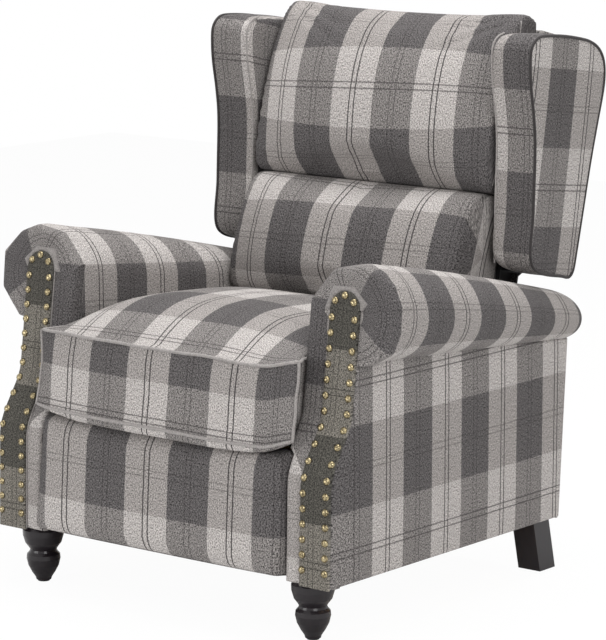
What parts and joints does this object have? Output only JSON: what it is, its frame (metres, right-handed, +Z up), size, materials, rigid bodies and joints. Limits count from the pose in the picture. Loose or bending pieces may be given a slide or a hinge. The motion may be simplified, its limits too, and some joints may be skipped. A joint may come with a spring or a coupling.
{
  "type": "wingback recliner",
  "caption": "Push-back wing chair with rolled arms, nailed facings, a reclining back and a footrest that swings out from under the seat.",
  "frame": {"origin": "on the floor, at the centre of the chair's bounding box", "axes": "+Z up, -Y towards the front of the seat, +X to the right seen from the front, across the chair's plane of symmetry"},
  "size_m": [0.842, 0.7759, 0.9474],
  "materials": {
    "check_tweed": "woven wool-look tweed in a grey check",
    "facing_tweed": "darker olive-grey woven tweed",
    "black_cloth": "non-woven black cloth",
    "timber": "planed unfinished softwood and plywood",
    "black_lacquer": "turned hardwood under black gloss lacquer",
    "black_steel": "satin black powder coat",
    "zinc_steel": "bright zinc plate",
    "nylon": "moulded nylon",
    "antique_brass": "domed heads, antique brass plate rubbed bright"
  },
  "bodies": {
    "base": {"arm_frame_right": "timber", "arm_frame_left": "timber", "arm_outer_panel_right": "check_tweed", "arm_outer_panel_left": "check_tweed", "arm_inner_panel_right": "check_tweed", "arm_inner_panel_left": "check_tweed", "arm_front_panel_right": "check_tweed", "arm_front_panel_left": "check_tweed", "arm_roll_right": "check_tweed", "arm_roll_left": "check_tweed", "arm_facing_right": "facing_tweed", "arm_facing_left": "facing_tweed", "facing_nails_right": "antique_brass", "facing_nails_left": "antique_brass", "front_leg_right": "black_lacquer", "front_leg_left": "black_lacquer", "rear_leg_right": "black_lacquer", "rear_leg_left": "black_lacquer", "leg_studs": "zinc_steel", "foot_glides": "nylon", "base_plates": "black_steel", "slide_channels": "black_steel", "base_bolts": "zinc_steel", "middle_rail": "timber", "rear_rail": "timber", "rear_apron": "check_tweed", "drive_brackets": "black_steel", "pivot_bolts": "zinc_steel"},
    "back": {"back_post_right": "timber", "back_post_left": "timber", "back_top_rail": "timber", "back_middle_rail": "timber", "back_bottom_rail": "timber", "back_webbing": "black_cloth", "back_liner": "black_cloth", "back_panel": "check_tweed", "head_pillow": "check_tweed", "lumbar_pillow": "check_tweed", "wing_frames": "timber", "wing_pad_right": "check_tweed", "wing_pad_left": "check_tweed", "wing_bolts": "zinc_steel", "back_brackets": "black_steel"},
    "seat": {"seat_front_rail": "timber", "seat_rear_rail": "timber", "seat_side_rails": "timber", "seat_springs": "zinc_steel", "spring_clips": "zinc_steel", "seat_deck": "black_cloth", "seat_cushion": "check_tweed", "seat_plates": "black_steel", "slide_blocks": "nylon", "seat_rivets": "zinc_steel"},
    "rear_links": {"rear_links": "black_steel"},
    "front_links": {"front_links": "black_steel"},
    "extension_bars": {"extension_bars": "black_steel"},
    "control_links": {"control_links": "black_steel"},
    "footrest": {"footrest_board": "timber", "footrest_pad": "check_tweed", "footrest_brackets": "black_steel"}
  },
  "joints": [
    {"name": "recline", "type": "hinge", "parent": "base", "child": "back", "pos_m": [0, 0.24, 0.345], "axis": [-1, 0, 0], "range_deg": [0, 35]},
    {"name": "seat_slide", "type": "slide", "parent": "base", "child": "seat", "axis": [0, -1, 0], "range_m": [0, 0.0461]},
    {"name": "rear_link_swing", "type": "hinge", "parent": "seat", "child": "rear_links", "pos_m": [0, -0.15, 0.25], "axis": [-1, 0, 0], "range_deg": [0, 100]},
    {"name": "front_link_swing", "type": "hinge", "parent": "seat", "child": "front_links", "pos_m": [0, -0.205, 0.25], "axis": [-1, 0, 0], "range_deg": [0, 100]},
    {"name": "extension_bar_swing", "type": "hinge", "parent": "rear_links", "child": "extension_bars", "pos_m": [0, -0.066, 0.10451], "axis": [1, 0, 0], "range_deg": [0, 100]},
    {"name": "control_link_swing", "type": "hinge", "parent": "front_links", "child": "control_links", "pos_m": [0, -0.141, 0.13915], "axis": [1, 0, 0], "range_deg": [0, 100]},
    {"name": "footrest_swing", "type": "hinge", "parent": "extension_bars", "child": "footrest", "pos_m": [0, -0.29, 0.19], "axis": [-1, 0, 0], "range_deg": [0, 100]}
  ],
  "couplings": [
    {"joint": "seat_slide", "follows": "recline", "m_per_rad": 0.075303},
    {"joint": "rear_link_swing", "follows": "recline", "ratio": 2.8571},
    {"joint": "front_link_swing", "follows": "recline", "ratio": 2.8571},
    {"joint": "extension_bar_swing", "follows": "recline", "ratio": 2.8571},
    {"joint": "control_link_swing", "follows": "recline", "ratio": 2.8571},
    {"joint": "footrest_swing", "follows": "recline", "ratio": 2.8571}
  ]
}
